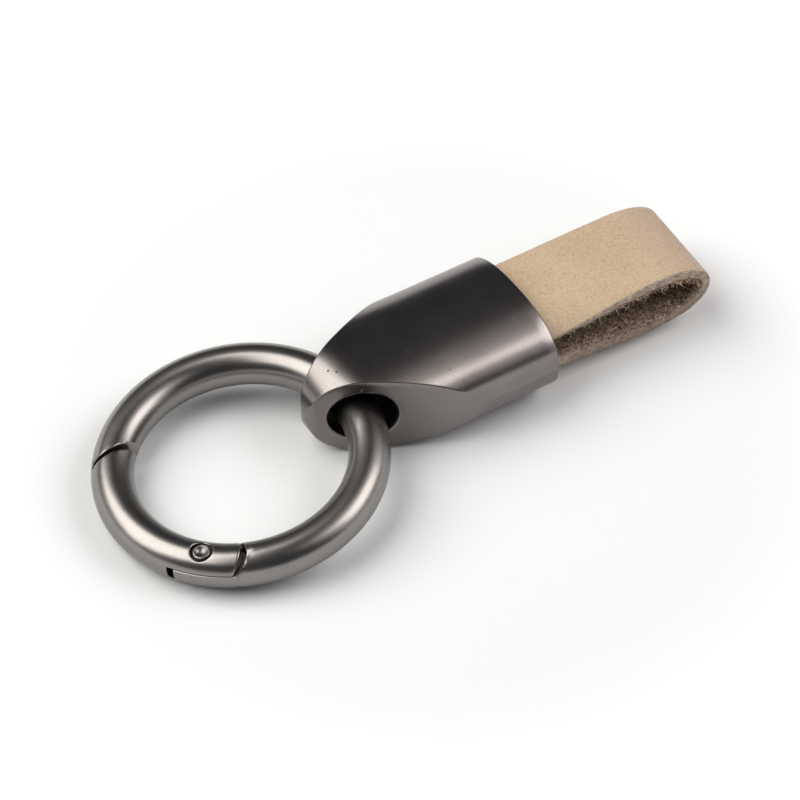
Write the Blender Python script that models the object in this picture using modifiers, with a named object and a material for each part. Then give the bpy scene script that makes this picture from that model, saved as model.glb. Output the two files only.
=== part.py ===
"""Leather key holder: a spring gate ring through a metal end cap that grips a folded strap.

Metres, +Z up. The origin is the middle of the object's footprint, on the surface it lies on.
+X runs from the ring to the fold of the strap. The ring is modelled flat about its own
centre and set into place by the empty that carries it.
"""
import math

import bmesh
import bpy
from mathutils import Matrix, Vector

# Clearances
RUNNING_GAP = 0.00010
FORK_GAP = 0.00015
SEAT_GAP = 0.0003

# Gate ring
RING_RADIUS = 0.0150
TUBE_RADIUS = 0.0025
RING_SEGMENTS = 96
TUBE_SIDES = 24
RING_OFFSET = 0.00122
RING_EDGE = 0.00012

# Gate joint at the nose: where the slanted cut meets the outside and the inside of the ring
NOSE_OUTER_ANGLE = math.radians(151.0)
NOSE_INNER_ANGLE = math.radians(135.0)
NOSE_OUTER_GAP = 0.00034
NOSE_INNER_GAP = 0.00080

# Gate hinge
PIN_ANGLE = math.radians(224.5)
PIN_RADIUS = 0.00080
PIN_HEAD_RADIUS = 0.00102
PIN_HEAD_DEPTH = 0.00030
PIN_DIMPLE_RADIUS = 0.00068
PIN_DIMPLE_DEPTH = 0.00030
PIN_SINK = 0.00022
RECESS_RADIUS = 0.00140
RECESS_DEPTH = 0.00060
FORK_REACH = 0.00445
SHOULDER_GAP = 0.00100
SHOULDER_ROUND = 0.00235
TONGUE_THICKNESS = 0.0018
TONGUE_REACH = 0.00300
SLOT_RUNOUT = 0.00046
GATE_EDGE = 0.00014

# Gate spring
SPRING_ANGLE = math.radians(216.0)
SPRING_INSET = 0.00095
SPRING_RADIUS = 0.00062
SPRING_WIRE_RADIUS = 0.00013
SPRING_CURLS = 9
SPRING_CURL_POINTS = 10
BORE_GAP = 0.00015
BORE_LENGTH = 0.0055

# End cap
CAP_LENGTH = 0.02957
CAP_WIDTH = 0.01940
CAP_HEIGHT = 0.01190
CAP_TURN = math.radians(1.05)
CAP_MOUTH_SQUARENESS = 2.35
CAP_NOSE_SQUARENESS = 2.65
SQUARE_UNTIL = 0.0055
ROUND_FROM = 0.0185
CAP_WALL = 0.0008
CAP_EDGE = 0.0002
CAVITY_DEPTH = 0.0118
NOSE_LENGTH = 0.0065
NOSE_FULLNESS = 2.15
NOSE_TIP_RADIUS = 0.0017
FACET_ANGLE = math.radians(26.4)
FACET_FILLET = 0.0090
HOLE_SETBACK = 0.0059
HOLE_RADIUS = 0.0037
HOLE_EDGE = 0.00045
HOLE_EDGE_STEPS = 4
HOLE_SIDES = 40

# Strap
STRAP_WIDTH = 0.0128
STRAP_THICKNESS = 0.0016
STRAP_REACH = 0.0244
STRAP_SIDE_OFFSET = -0.00025
STRAP_LEAN = -0.00045
STRAP_SAG = 0.0002
STRAP_BELLY_HEIGHT = 0.0083
STRAP_BELLY_AT = 0.0168
STRAP_FOLD_FULLNESS = 2.2
STRAP_SKEW = 0.05
STRAP_TUCK = 0.0110
STRAP_GAP = 0.00080

# Adhesive between the ends of the strap
GLUE_LENGTH = 0.0085
GLUE_WIDTH = 0.0112
GLUE_GAP = 0.0003

# Places that follow from the sizes
CAP_MID_Z = CAP_HEIGHT / 2
TUBE_SAG = 0.00033
PASS_ANGLE = math.asin(RING_OFFSET / RING_RADIUS)
RING_REACH = RING_RADIUS * (1.0 + math.cos(PASS_ANGLE))
RING_TILT = math.asin((CAP_MID_Z - TUBE_SAG - TUBE_RADIUS) / RING_REACH)


def ring_point(radius, angle, height=0.0):
    """A point in the ring's own frame."""
    return Vector((radius * math.cos(angle), radius * math.sin(angle), height))


def layout():
    """World places along X and Y, with the whole object's footprint centred on the origin."""
    pass_x = RING_RADIUS * math.cos(PASS_ANGLE) * math.cos(RING_TILT)
    ring_back = RING_RADIUS * math.cos(RING_TILT) + TUBE_RADIUS
    hole_to_mouth = CAP_LENGTH - HOLE_SETBACK
    mouth_from_ring = pass_x + hole_to_mouth * math.cos(CAP_TURN)
    end_from_ring = mouth_from_ring + STRAP_REACH + STRAP_SKEW * STRAP_WIDTH / 2
    ring_x = (ring_back - end_from_ring) / 2
    nose_x = ring_x + pass_x - HOLE_SETBACK * math.cos(CAP_TURN)
    nose_y = RING_OFFSET - HOLE_SETBACK * math.sin(CAP_TURN)
    mouth_y = RING_OFFSET + hole_to_mouth * math.sin(CAP_TURN)
    strap_y = mouth_y + STRAP_SIDE_OFFSET
    return {
        "ring": Vector((ring_x, 0.0, TUBE_RADIUS + RING_RADIUS * math.sin(RING_TILT))),
        "hole": Vector((ring_x + pass_x, RING_OFFSET, CAP_MID_Z)),
        "nose": Vector((nose_x, nose_y, CAP_MID_Z)),
        "strap": Vector((ring_x + mouth_from_ring, strap_y, CAP_MID_Z - STRAP_SAG)),
        "end_x": ring_x + end_from_ring,
    }


PLACES = layout()


def clear_scene():
    for item in list(bpy.data.objects):
        bpy.data.objects.remove(item, do_unlink=True)


def collection(name):
    made = bpy.data.collections.new(name)
    bpy.context.scene.collection.children.link(made)
    return made


def material(name, colour, roughness, metallic):
    made = bpy.data.materials.new(name)
    made.use_nodes = True
    shader = made.node_tree.nodes["Principled BSDF"]
    shader.inputs["Base Color"].default_value = (*colour, 1.0)
    shader.inputs["Roughness"].default_value = roughness
    shader.inputs["Metallic"].default_value = metallic
    return made


def object_from_bmesh(name, mesh_builder, home):
    mesh = bpy.data.meshes.new(name)
    mesh_builder.to_mesh(mesh)
    mesh_builder.free()
    made = bpy.data.objects.new(name, mesh)
    home.objects.link(made)
    return made


def object_from_curve(curve_object, name, home):
    """Turn a curve into a welded mesh object that can be cut or used as a cutter."""
    graph = bpy.context.evaluated_depsgraph_get()
    mesh = bpy.data.meshes.new_from_object(curve_object.evaluated_get(graph))
    mesh.name = name
    made = bpy.data.objects.new(name, mesh)
    made.matrix_world = curve_object.matrix_world.copy()
    welded = bmesh.new()
    welded.from_mesh(mesh)
    bmesh.ops.remove_doubles(welded, verts=welded.verts, dist=1e-7)
    bmesh.ops.recalc_face_normals(welded, faces=welded.faces)
    welded.to_mesh(mesh)
    welded.free()
    bpy.data.objects.remove(curve_object, do_unlink=True)
    home.objects.link(made)
    return made


def poly_curve(name, points, home, flat=False, closed=False):
    """A curve object with one straight-sided spline through the points."""
    curve = bpy.data.curves.new(name, "CURVE")
    curve.dimensions = "2D" if flat else "3D"
    spline = curve.splines.new("POLY")
    spline.points.add(len(points) - 1)
    for target, point in zip(spline.points, points):
        target.co = (point[0], point[1], point[2] if len(point) > 2 else 0.0, 1.0)
    spline.use_cyclic_u = closed
    made = bpy.data.objects.new(name, curve)
    home.objects.link(made)
    return made


def prism(name, outline, height, home):
    """A flat outline in the XY plane, extruded evenly to both sides of it."""
    made = poly_curve(f"{name}_outline", outline, home, flat=True, closed=True)
    made.data.fill_mode = "BOTH"
    made.data.extrude = height / 2
    bpy.context.view_layer.update()
    return object_from_curve(made, name, home)


def cylinder(name, radius, length, sides, home):
    """A cylinder about Z, centred on the origin of its own frame."""
    shape = bmesh.new()
    bmesh.ops.create_cone(shape, cap_ends=True, segments=sides, radius1=radius,
                          radius2=radius, depth=length)
    return object_from_bmesh(name, shape, home)


def hide_as_cutter(item):
    item.hide_render = True
    item.display_type = "WIRE"


def boolean(target, tool, operation):
    step = target.modifiers.new(f"{operation.lower()} {tool.name}", "BOOLEAN")
    step.operation = operation
    step.solver = "EXACT"
    step.object = tool


def bevel(target, width, segments, angle):
    step = target.modifiers.new("edges", "BEVEL")
    step.width = width
    step.segments = segments
    step.limit_method = "ANGLE"
    step.angle_limit = angle
    step.harden_normals = False
    return step


def smooth(target, angle=math.radians(32.0)):
    target.data.shade_smooth()
    target.data.set_sharp_from_angle(angle=angle)


def arc(radius, start, end, steps, centre=Vector((0.0, 0.0))):
    """Points of a circular arc in the XY plane, both ends included."""
    turn = (end - start) / steps
    return [
        (centre[0] + radius * math.cos(start + turn * i),
         centre[1] + radius * math.sin(start + turn * i))
        for i in range(steps + 1)
    ]


def torus(name, home):
    """The whole ring, turned by half a segment so that no cut runs along its edges."""
    bpy.ops.mesh.primitive_torus_add(
        major_segments=RING_SEGMENTS, minor_segments=TUBE_SIDES,
        major_radius=RING_RADIUS, minor_radius=TUBE_RADIUS,
    )
    made = bpy.context.object
    made.name = name
    made.data.name = name
    for holder in list(made.users_collection):
        holder.objects.unlink(made)
    home.objects.link(made)
    made.data.transform(Matrix.Rotation(math.pi / RING_SEGMENTS, 4, "Z"))
    return made


def nose_line(outer_gap, inner_gap):
    """Two points of a nose cut, a gap away from the fixed part at each side of the ring."""
    outer = ring_point(RING_RADIUS + TUBE_RADIUS, NOSE_OUTER_ANGLE)
    inner = ring_point(RING_RADIUS - TUBE_RADIUS, NOSE_INNER_ANGLE)
    along = (inner - outer).normalized()
    away = Vector((along.y, -along.x, 0.0))
    cut_outer = outer + away * outer_gap
    cut_inner = inner + away * inner_gap
    reach = cut_inner - cut_outer
    return cut_outer - reach, cut_inner + reach / 2


def spring_frame():
    """Origin, direction into the gate and outward direction of the spring's axis."""
    outward = ring_point(1.0, SPRING_ANGLE)
    into_gate = Vector((outward.y, -outward.x, 0.0))
    return outward * (RING_RADIUS - SPRING_INSET), into_gate, outward


def slot_end_distance():
    """How far along the spring's axis the slot in the gate ends, past the round tongue."""
    origin, into_gate, _ = spring_frame()
    pin = ring_point(RING_RADIUS, PIN_ANGLE)
    return (pin - origin).dot(into_gate) + TONGUE_REACH + SLOT_RUNOUT


def shoulder_outline():
    """The hollow round end of the fixed part beyond the fork, from outside to inside."""
    reach = FORK_REACH + SHOULDER_GAP - SHOULDER_ROUND
    centre = ring_point(RING_RADIUS, PIN_ANGLE) + ring_point(reach, PIN_ANGLE + math.pi / 2)
    steps = 12
    turn = math.radians(60.0)
    middle = PIN_ANGLE + math.pi / 2
    hollow = arc(SHOULDER_ROUND, middle - turn, middle + turn, steps, centre)
    side = ring_point(3 * TUBE_RADIUS, PIN_ANGLE)
    outside = Vector((*hollow[0], 0.0)) + side
    inside = Vector((*hollow[-1], 0.0)) - side
    return [outside, *hollow, inside]


def spring_seat_distance():
    """Where the tongue's flat for the spring lies along the spring's axis."""
    origin, into_gate, _ = spring_frame()
    pin = ring_point(RING_RADIUS, PIN_ANGLE)
    return (pin - origin).dot(into_gate) + 2 * PIN_RADIUS


def make_tongue_outline(cutters):
    """The eye that the gate turns on, in plan: as wide as the tube, with a flat end."""
    side = 1.2 * TUBE_RADIUS
    root = PIN_ANGLE + 2 * FORK_REACH / RING_RADIUS
    ahead = ring_point(TONGUE_REACH, PIN_ANGLE - math.pi / 2)
    steps = 12
    outline = arc(RING_RADIUS + side, root, PIN_ANGLE, steps)
    outline.append(ring_point(RING_RADIUS + side, PIN_ANGLE) + ahead)
    outline.append(ring_point(RING_RADIUS - side, PIN_ANGLE) + ahead)
    outline += arc(RING_RADIUS - side, PIN_ANGLE, root, steps)
    return prism("tongue", outline, TONGUE_THICKNESS, cutters)


def make_ring_body(home, cutters):
    """The whole ring, less the gate's space. The tongue is what that space leaves standing."""
    body = torus("ring_body", home)
    nose_out, nose_in = nose_line(0.0, 0.0)
    far = RING_RADIUS + 3 * TUBE_RADIUS
    outline = [
        nose_in, nose_out, (-far * 1.2, -far * 0.6), (-far, -far * 1.2), *shoulder_outline(),
    ]
    gate_space = prism("gate_space", outline, 4 * TUBE_RADIUS, cutters)
    tongue = make_tongue_outline(cutters)
    boolean(gate_space, tongue, "DIFFERENCE")
    boolean(body, gate_space, "DIFFERENCE")
    origin, into_gate, outward = spring_frame()
    seat = spring_seat_distance()
    edge = SPRING_RADIUS + SPRING_WIRE_RADIUS + BORE_GAP
    reach = 2 * TUBE_RADIUS
    corners = [(seat, edge), (seat + reach, edge), (seat + reach, -reach), (seat, -reach)]
    notch = prism(
        "spring_seat",
        [origin + into_gate * along + outward * out for along, out in corners],
        4 * TUBE_RADIUS, cutters,
    )
    boolean(body, notch, "DIFFERENCE")
    bevel(body, RING_EDGE, 2, math.radians(40.0))
    pin_hole = cylinder("tongue_pin_hole", PIN_RADIUS + RUNNING_GAP, 4 * TUBE_RADIUS, 24, cutters)
    pin_hole.location = ring_point(RING_RADIUS, PIN_ANGLE)
    boolean(body, pin_hole, "DIFFERENCE")
    for cutter in (gate_space, tongue, pin_hole, notch):
        hide_as_cutter(cutter)
    smooth(body)
    return body, [gate_space, tongue, pin_hole, notch]


def make_gate(home, cutters):
    """The gate is what the cuts of the ring body leave, less its running gaps."""
    gate = torus("gate", home)
    nose_out, nose_in = nose_line(NOSE_OUTER_GAP, NOSE_INNER_GAP)
    far = RING_RADIUS + 3 * TUBE_RADIUS
    pin = ring_point(RING_RADIUS, PIN_ANGLE)
    fork_end = arc(FORK_REACH, PIN_ANGLE, PIN_ANGLE + math.pi, 24, pin)
    keep = prism(
        "gate_sector",
        [nose_in, nose_out, (-far * 1.2, -far * 0.6), (-far, -far * 1.2), *fork_end],
        4 * TUBE_RADIUS, cutters,
    )
    boolean(gate, keep, "INTERSECT")
    origin, into_gate, outward = spring_frame()
    slot_end = slot_end_distance()
    reach = 3 * TUBE_RADIUS
    back = 6 * TUBE_RADIUS
    corners = [(slot_end, reach), (slot_end, -reach), (-back, -reach), (-back, reach)]
    slot = prism(
        "fork_slot",
        [origin + into_gate * along + outward * out for along, out in corners],
        TONGUE_THICKNESS + 2 * FORK_GAP, cutters,
    )
    boolean(gate, slot, "DIFFERENCE")
    pin_hole = cylinder("fork_pin_hole", PIN_RADIUS + RUNNING_GAP, 4 * TUBE_RADIUS, 24, cutters)
    pin_hole.location = pin
    boolean(gate, pin_hole, "DIFFERENCE")
    tools = [keep, slot, pin_hole]
    for side in (1.0, -1.0):
        recess = cylinder("pin_recess", RECESS_RADIUS, 2 * RECESS_DEPTH, 32, cutters)
        recess.location = pin + Vector((0.0, 0.0, side * TUBE_RADIUS))
        boolean(gate, recess, "DIFFERENCE")
        tools.append(recess)
    bore_radius = SPRING_RADIUS + SPRING_WIRE_RADIUS + BORE_GAP
    bore = cylinder("spring_bore", bore_radius, 2 * BORE_LENGTH, 16, cutters)
    bore.matrix_world = axis_matrix(origin + into_gate * slot_end, into_gate)
    boolean(gate, bore, "DIFFERENCE")
    tools.append(bore)
    bevel(gate, GATE_EDGE, 2, math.radians(40.0))
    for cutter in tools:
        hide_as_cutter(cutter)
    smooth(gate)
    return gate, tools


def axis_matrix(place, direction):
    """A frame at place whose Z runs along direction."""
    turn = direction.to_track_quat("Z", "Y").to_matrix().to_4x4()
    return Matrix.Translation(place) @ turn


def make_pin(home):
    """A rivet turned about Z: shank, two heads sunk in their recesses and a dimple in each."""
    half = TUBE_RADIUS - PIN_SINK
    neck = half - PIN_HEAD_DEPTH
    edge = PIN_HEAD_DEPTH / 4
    upper = [
        (0.0, half - PIN_DIMPLE_DEPTH), (PIN_DIMPLE_RADIUS / 2, half - PIN_DIMPLE_DEPTH * 0.75),
        (PIN_DIMPLE_RADIUS, half), (PIN_HEAD_RADIUS - edge, half),
        (PIN_HEAD_RADIUS, half - edge), (PIN_HEAD_RADIUS, neck), (PIN_RADIUS, neck - edge),
    ]
    profile = upper + [(radius, -height) for radius, height in reversed(upper)]
    shape = bmesh.new()
    points = [shape.verts.new((radius, 0.0, height)) for radius, height in profile]
    for first, second in zip(points, points[1:]):
        shape.edges.new((first, second))
    made = object_from_bmesh("gate_pin", shape, home)
    turned = made.modifiers.new("turned", "SCREW")
    turned.angle = 2 * math.pi
    turned.steps = 24
    turned.render_steps = 24
    turned.use_merge_vertices = True
    turned.merge_threshold = 1e-6
    turned.use_smooth_shade = True
    return made


def make_spring(home):
    """A coil spring in the gate's bore, from the flat on the tongue to the end of the bore."""
    origin, into_gate, _ = spring_frame()
    start = spring_seat_distance() + SEAT_GAP + SPRING_WIRE_RADIUS
    end = slot_end_distance() + BORE_LENGTH - SEAT_GAP / 2 - SPRING_WIRE_RADIUS
    steps = SPRING_CURLS * SPRING_CURL_POINTS
    points = []
    for i in range(steps + 1):
        turn = 2 * math.pi * i / SPRING_CURL_POINTS
        points.append((SPRING_RADIUS * math.cos(turn), SPRING_RADIUS * math.sin(turn),
                       start + (end - start) * i / steps))
    wire = poly_curve("gate_spring_wire", points, home)
    wire.data.bevel_depth = SPRING_WIRE_RADIUS
    wire.data.bevel_resolution = 1
    wire.data.use_fill_caps = True
    bpy.context.view_layer.update()
    made = object_from_curve(wire, "gate_spring", home)
    made.data.transform(axis_matrix(origin, into_gate))
    smooth(made, math.radians(75.0))
    return made


def oval_height(y, half_width, half_height, squareness):
    """Half the height of an oval section at y: squareness 2 is an ellipse."""
    share = min(1.0, abs(y) / half_width)
    return half_height * (1.0 - share**squareness) ** (1.0 / squareness)


def facet_half_width(x):
    """Half the distance between the planes of the two facets, x behind the nose tip."""
    tangent_x = NOSE_TIP_RADIUS * (1.0 - math.sin(FACET_ANGLE))
    tangent_y = NOSE_TIP_RADIUS * math.cos(FACET_ANGLE)
    return tangent_y + (x - tangent_x) * math.tan(FACET_ANGLE)


def facet_run():
    """Where a facet starts, where it begins to run out into the side and where that ends."""
    start = NOSE_TIP_RADIUS * (1.0 - math.sin(FACET_ANGLE))
    corner = start + (CAP_WIDTH / 2 - facet_half_width(start)) / math.tan(FACET_ANGLE)
    set_back = FACET_FILLET * math.tan(FACET_ANGLE / 2)
    return start, corner - set_back * math.cos(FACET_ANGLE), corner + set_back


def cap_half_width(x):
    """Half the width of the cap in plan, x behind the nose tip."""
    start, run_out, side = facet_run()
    if x < start:
        return math.sqrt(max(0.0, NOSE_TIP_RADIUS**2 - (NOSE_TIP_RADIUS - x) ** 2))
    if x < run_out:
        return facet_half_width(x)
    if x < side:
        return CAP_WIDTH / 2 - FACET_FILLET + math.sqrt(FACET_FILLET**2 - (side - x) ** 2)
    return CAP_WIDTH / 2


def cap_half_height(x):
    """Half the height of the cap at its middle, x behind the nose tip."""
    back = max(0.0, 1.0 - x / NOSE_LENGTH)
    return CAP_HEIGHT / 2 * max(0.0, 1.0 - back**NOSE_FULLNESS) ** (1.0 / NOSE_FULLNESS)


def cap_squareness(x):
    """The section is fuller at the hole than at the mouth."""
    share = min(1.0, max(0.0, (ROUND_FROM - x) / (ROUND_FROM - SQUARE_UNTIL)))
    blend = share * share * (3.0 - 2.0 * share)
    return CAP_MOUTH_SQUARENESS + (CAP_NOSE_SQUARENESS - CAP_MOUTH_SQUARENESS) * blend


ARCH_STEPS = 24
SIDE_STEPS = 6


def cap_section(x, half_width, half_height, squareness, width_limit):
    """One closed section: an arch above, the flats at the sides, an arch below."""
    edge = min(CAP_EDGE, width_limit / 4)
    reach = width_limit - edge
    arch = []
    for i in range(ARCH_STEPS + 1):
        y = reach * math.sin(math.pi * (i / ARCH_STEPS - 0.5))
        arch.append((y, oval_height(y, half_width, half_height, squareness)))
    corner = oval_height(width_limit, half_width, half_height, squareness)
    shoulder = max(0.0, corner - edge)
    inner_end = arch[-1][1]
    rounded = [
        (reach + edge * 0.44, inner_end * 0.36 + corner * 0.48 + shoulder * 0.16),
        (reach + edge * 0.80, inner_end * 0.16 + corner * 0.48 + shoulder * 0.36),
    ]
    opposite = [(-y, z) for y, z in reversed(rounded)]
    side = [(width_limit, shoulder * (1 - 2 * i / SIDE_STEPS)) for i in range(SIDE_STEPS)]
    upper = opposite + arch + rounded + side
    return [(x, y, z) for y, z in upper] + [(x, -y, -z) for y, z in upper]


def cap_outer_section(x):
    """The outside of the cap, x behind the nose tip."""
    return cap_section(x, CAP_WIDTH / 2, cap_half_height(x), cap_squareness(x), cap_half_width(x))


def cap_inset_section(x, inset):
    """The section at the mouth, smaller all round by inset."""
    half_width = CAP_WIDTH / 2 - inset
    half_height = CAP_HEIGHT / 2 - inset
    return cap_section(x, half_width, half_height, CAP_MOUTH_SQUARENESS, half_width)


def cap_stations():
    """Distances behind the nose tip of the outer sections, close together where it curves."""
    _, run_out, side = facet_run()
    nose = [NOSE_LENGTH * (1 - math.cos(math.pi / 2 * i / 16)) for i in range(1, 17)]
    facet = [NOSE_LENGTH + (run_out - NOSE_LENGTH) * i / 7 for i in range(1, 8)]
    fillet = [run_out + (side - run_out) * i / 6 for i in range(1, 7)]
    body = [side + (CAP_LENGTH - CAP_EDGE - side) * i / 2 for i in range(1, 3)]
    return nose + facet + fillet + body


def make_hole_cutter(cutters):
    """A cylinder across the cap that flares out to a round edge at each facet."""
    rounding = []
    for i in range(HOLE_EDGE_STEPS + 1):
        turn = math.pi / 2 * i / HOLE_EDGE_STEPS
        rounding.append((HOLE_EDGE * (1 - math.sin(turn)), HOLE_EDGE * (1 - math.cos(turn))))
    rounding.append((-4 * HOLE_EDGE, HOLE_EDGE))
    shape = bmesh.new()
    rings = []
    for side in (-1.0, 1.0):
        flare = rounding if side > 0.0 else rounding[::-1]
        for depth, growth in flare:
            ring = []
            for i in range(HOLE_SIDES):
                turn = 2 * math.pi * (i + 0.5) / HOLE_SIDES
                x = HOLE_SETBACK + (HOLE_RADIUS + growth) * math.cos(turn)
                z = (HOLE_RADIUS + growth) * math.sin(turn)
                ring.append(shape.verts.new((x, side * (facet_half_width(x) - depth), z)))
            rings.append(ring)
    for fore, aft in zip(rings, rings[1:]):
        for i in range(HOLE_SIDES):
            j = (i + 1) % HOLE_SIDES
            shape.faces.new((fore[i], fore[j], aft[j], aft[i]))
    shape.faces.new(rings[0])
    shape.faces.new(rings[-1])
    bmesh.ops.recalc_face_normals(shape, faces=shape.faces)
    cutter = object_from_bmesh("ring_hole", shape, cutters)
    hide_as_cutter(cutter)
    return cutter


def make_end_cap(home, cutters):
    """A loft from the nose to the mouth and back down the cavity, then the cross hole."""
    sections = [cap_outer_section(x) for x in cap_stations()]
    sections.append(cap_inset_section(CAP_LENGTH - CAP_EDGE * 0.3, CAP_EDGE * 0.3))
    sections.append(cap_inset_section(CAP_LENGTH, CAP_EDGE))
    sections.append(cap_inset_section(CAP_LENGTH, CAP_WALL - CAP_EDGE))
    sections.append(cap_inset_section(CAP_LENGTH - CAP_EDGE, CAP_WALL))
    sections.append(cap_inset_section(CAP_LENGTH - CAVITY_DEPTH, CAP_WALL))
    shape = bmesh.new()
    rings = [[shape.verts.new(point) for point in section] for section in sections]
    tip = shape.verts.new((0.0, 0.0, 0.0))
    floor = shape.verts.new((CAP_LENGTH - CAVITY_DEPTH, 0.0, 0.0))
    count = len(rings[0])
    for i in range(count):
        j = (i + 1) % count
        shape.faces.new((tip, rings[0][j], rings[0][i]))
        shape.faces.new((floor, rings[-1][i], rings[-1][j]))
        for fore, aft in zip(rings, rings[1:]):
            shape.faces.new((fore[i], fore[j], aft[j], aft[i]))
    bmesh.ops.remove_doubles(shape, verts=shape.verts, dist=1e-6)
    bmesh.ops.dissolve_degenerate(shape, edges=shape.edges, dist=1e-6)
    bmesh.ops.recalc_face_normals(shape, faces=shape.faces)
    cap = object_from_bmesh("end_cap", shape, home)
    cap.location = PLACES["nose"]
    cap.rotation_euler = (0.0, 0.0, CAP_TURN)
    hole = make_hole_cutter(cutters)
    hole.location = cap.location
    hole.rotation_euler = cap.rotation_euler
    boolean(cap, hole, "DIFFERENCE")
    smooth(cap)
    return cap


def strap_mouth_half_height(y):
    """Half the height over the leather where the oval cavity squeezes it, y from its middle."""
    cavity = oval_height(
        y + STRAP_SIDE_OFFSET + STRAP_LEAN, CAP_WIDTH / 2 - CAP_WALL,
        CAP_HEIGHT / 2 - CAP_WALL, CAP_MOUTH_SQUARENESS,
    )
    return min(STRAP_BELLY_HEIGHT / 2, cavity - STRAP_GAP)


def strap_layer_height(x, y):
    """Height of the strap's middle layer over its own middle plane, x out of the mouth."""
    mouth = strap_mouth_half_height(y) - STRAP_THICKNESS / 2
    belly = (STRAP_BELLY_HEIGHT - STRAP_THICKNESS) / 2
    tip = STRAP_REACH - STRAP_THICKNESS / 2
    if x <= 0.0:
        return mouth
    if x <= STRAP_BELLY_AT:
        return mouth + (belly - mouth) * 0.5 * (1 - math.cos(math.pi * x / STRAP_BELLY_AT))
    share = (x - STRAP_BELLY_AT) / (tip - STRAP_BELLY_AT)
    return belly * math.sqrt(max(0.0, 1.0 - share**STRAP_FOLD_FULLNESS))


def strap_stations():
    """Distances out of the mouth from a hidden end of the strap to its fold."""
    tip = STRAP_REACH - STRAP_THICKNESS / 2
    tucked = [-STRAP_TUCK, -STRAP_TUCK / 2, 0.0]
    swell = [STRAP_BELLY_AT * i / 8 for i in range(1, 9)]
    fold = [
        STRAP_BELLY_AT + (tip - STRAP_BELLY_AT) * math.sin(math.pi / 2 * i / 10)
        for i in range(1, 11)
    ]
    return tucked + swell + fold


STRAP_COLUMNS = 10


def make_strap(home):
    """The strap's middle layer as an open sheet, thickened to the leather's real gauge."""
    shape = bmesh.new()
    stations = strap_stations()
    path = [(x, 1.0) for x in stations] + [(x, -1.0) for x in reversed(stations[:-1])]
    rows = []
    for x, side in path:
        row = []
        for i in range(STRAP_COLUMNS + 1):
            y = STRAP_WIDTH * (i / STRAP_COLUMNS - 0.5)
            skew = STRAP_SKEW * y * max(0.0, x) / STRAP_REACH
            row.append(shape.verts.new((x + skew, y, side * strap_layer_height(x, y))))
        rows.append(row)
    for fore, aft in zip(rows, rows[1:]):
        for i in range(STRAP_COLUMNS):
            shape.faces.new((fore[i], fore[i + 1], aft[i + 1], aft[i]))
    strap = object_from_bmesh("leather_strap", shape, home)
    strap.location = PLACES["strap"]
    gauge = strap.modifiers.new("gauge", "SOLIDIFY")
    gauge.thickness = STRAP_THICKNESS
    gauge.offset = 0.0
    gauge.use_even_offset = True
    smooth(strap, math.radians(50.0))
    return strap


def make_glue(home):
    """The block of set adhesive that fills the space between the two ends of the strap."""
    steps = 8
    upper = []
    for i in range(steps + 1):
        y = GLUE_WIDTH * (i / steps - 0.5)
        upper.append((y, strap_mouth_half_height(y) - STRAP_THICKNESS - GLUE_GAP))
    outline = upper + [(y, -z) for y, z in reversed(upper)]
    glue = prism("glue_plug", outline, GLUE_LENGTH, home)
    glue.rotation_euler = (math.pi / 2, 0.0, math.pi / 2)
    glue.location = PLACES["strap"]
    glue.location.x += GLUE_LENGTH / 2 - STRAP_TUCK
    smooth(glue)
    return glue


def carry(parent, children):
    for child in children:
        child.parent = parent


def main():
    clear_scene()
    home = collection("key_holder")
    cutters = collection("cutters")
    metal = {"colour": (0.20, 0.185, 0.18), "roughness": 0.32, "metallic": 1.0}

    ring_body, ring_tools = make_ring_body(home, cutters)
    gate, gate_tools = make_gate(home, cutters)
    pin = make_pin(home)
    spring = make_spring(home)
    pin.location = ring_point(RING_RADIUS, PIN_ANGLE)
    cap = make_end_cap(home, cutters)
    strap = make_strap(home)
    glue = make_glue(home)

    carrier = bpy.data.objects.new("ring_swing", None)
    home.objects.link(carrier)
    carrier.location = PLACES["ring"]
    carrier.rotation_euler = (0.0, -RING_TILT, 0.0)
    carry(carrier, [ring_body, gate, pin, spring, *ring_tools, *gate_tools])

    finishes = {
        ring_body: material("ring_metal", **metal),
        gate: material("gate_metal", **metal),
        pin: material("pin_metal", (0.30, 0.28, 0.27), 0.30, 1.0),
        spring: material("spring_wire", (0.45, 0.44, 0.43), 0.30, 1.0),
        cap: material("cap_metal", (0.17, 0.155, 0.15), 0.35, 1.0),
        strap: material("strap_leather", (0.60, 0.45, 0.32), 0.75, 0.0),
        glue: material("set_adhesive", (0.75, 0.70, 0.55), 0.50, 0.0),
    }
    for item, finish in finishes.items():
        item.data.materials.clear()
        item.data.materials.append(finish)


main()
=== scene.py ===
"""Leather key holder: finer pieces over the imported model, its materials, camera and light.

Metres, +Z up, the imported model's own frame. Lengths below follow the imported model.
"""

import math
import random

import bmesh
import bpy
from mathutils import Matrix, Vector, noise


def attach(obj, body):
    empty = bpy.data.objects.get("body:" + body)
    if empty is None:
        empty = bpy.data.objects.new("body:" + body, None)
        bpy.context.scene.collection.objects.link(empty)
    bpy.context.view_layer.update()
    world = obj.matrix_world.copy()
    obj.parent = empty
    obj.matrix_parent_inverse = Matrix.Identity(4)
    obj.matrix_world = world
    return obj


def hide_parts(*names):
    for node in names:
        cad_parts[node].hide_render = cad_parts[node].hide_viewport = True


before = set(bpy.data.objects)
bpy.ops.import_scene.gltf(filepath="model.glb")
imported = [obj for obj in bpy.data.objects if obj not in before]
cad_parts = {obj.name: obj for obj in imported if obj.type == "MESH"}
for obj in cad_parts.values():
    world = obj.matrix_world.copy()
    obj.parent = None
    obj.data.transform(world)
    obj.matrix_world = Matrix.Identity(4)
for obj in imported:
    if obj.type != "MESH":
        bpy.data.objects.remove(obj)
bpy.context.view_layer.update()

# Gate ring, as packed
RING_RADIUS = 0.0150
TUBE_RADIUS = 0.0025
RING_OFFSET = 0.00122
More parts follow.
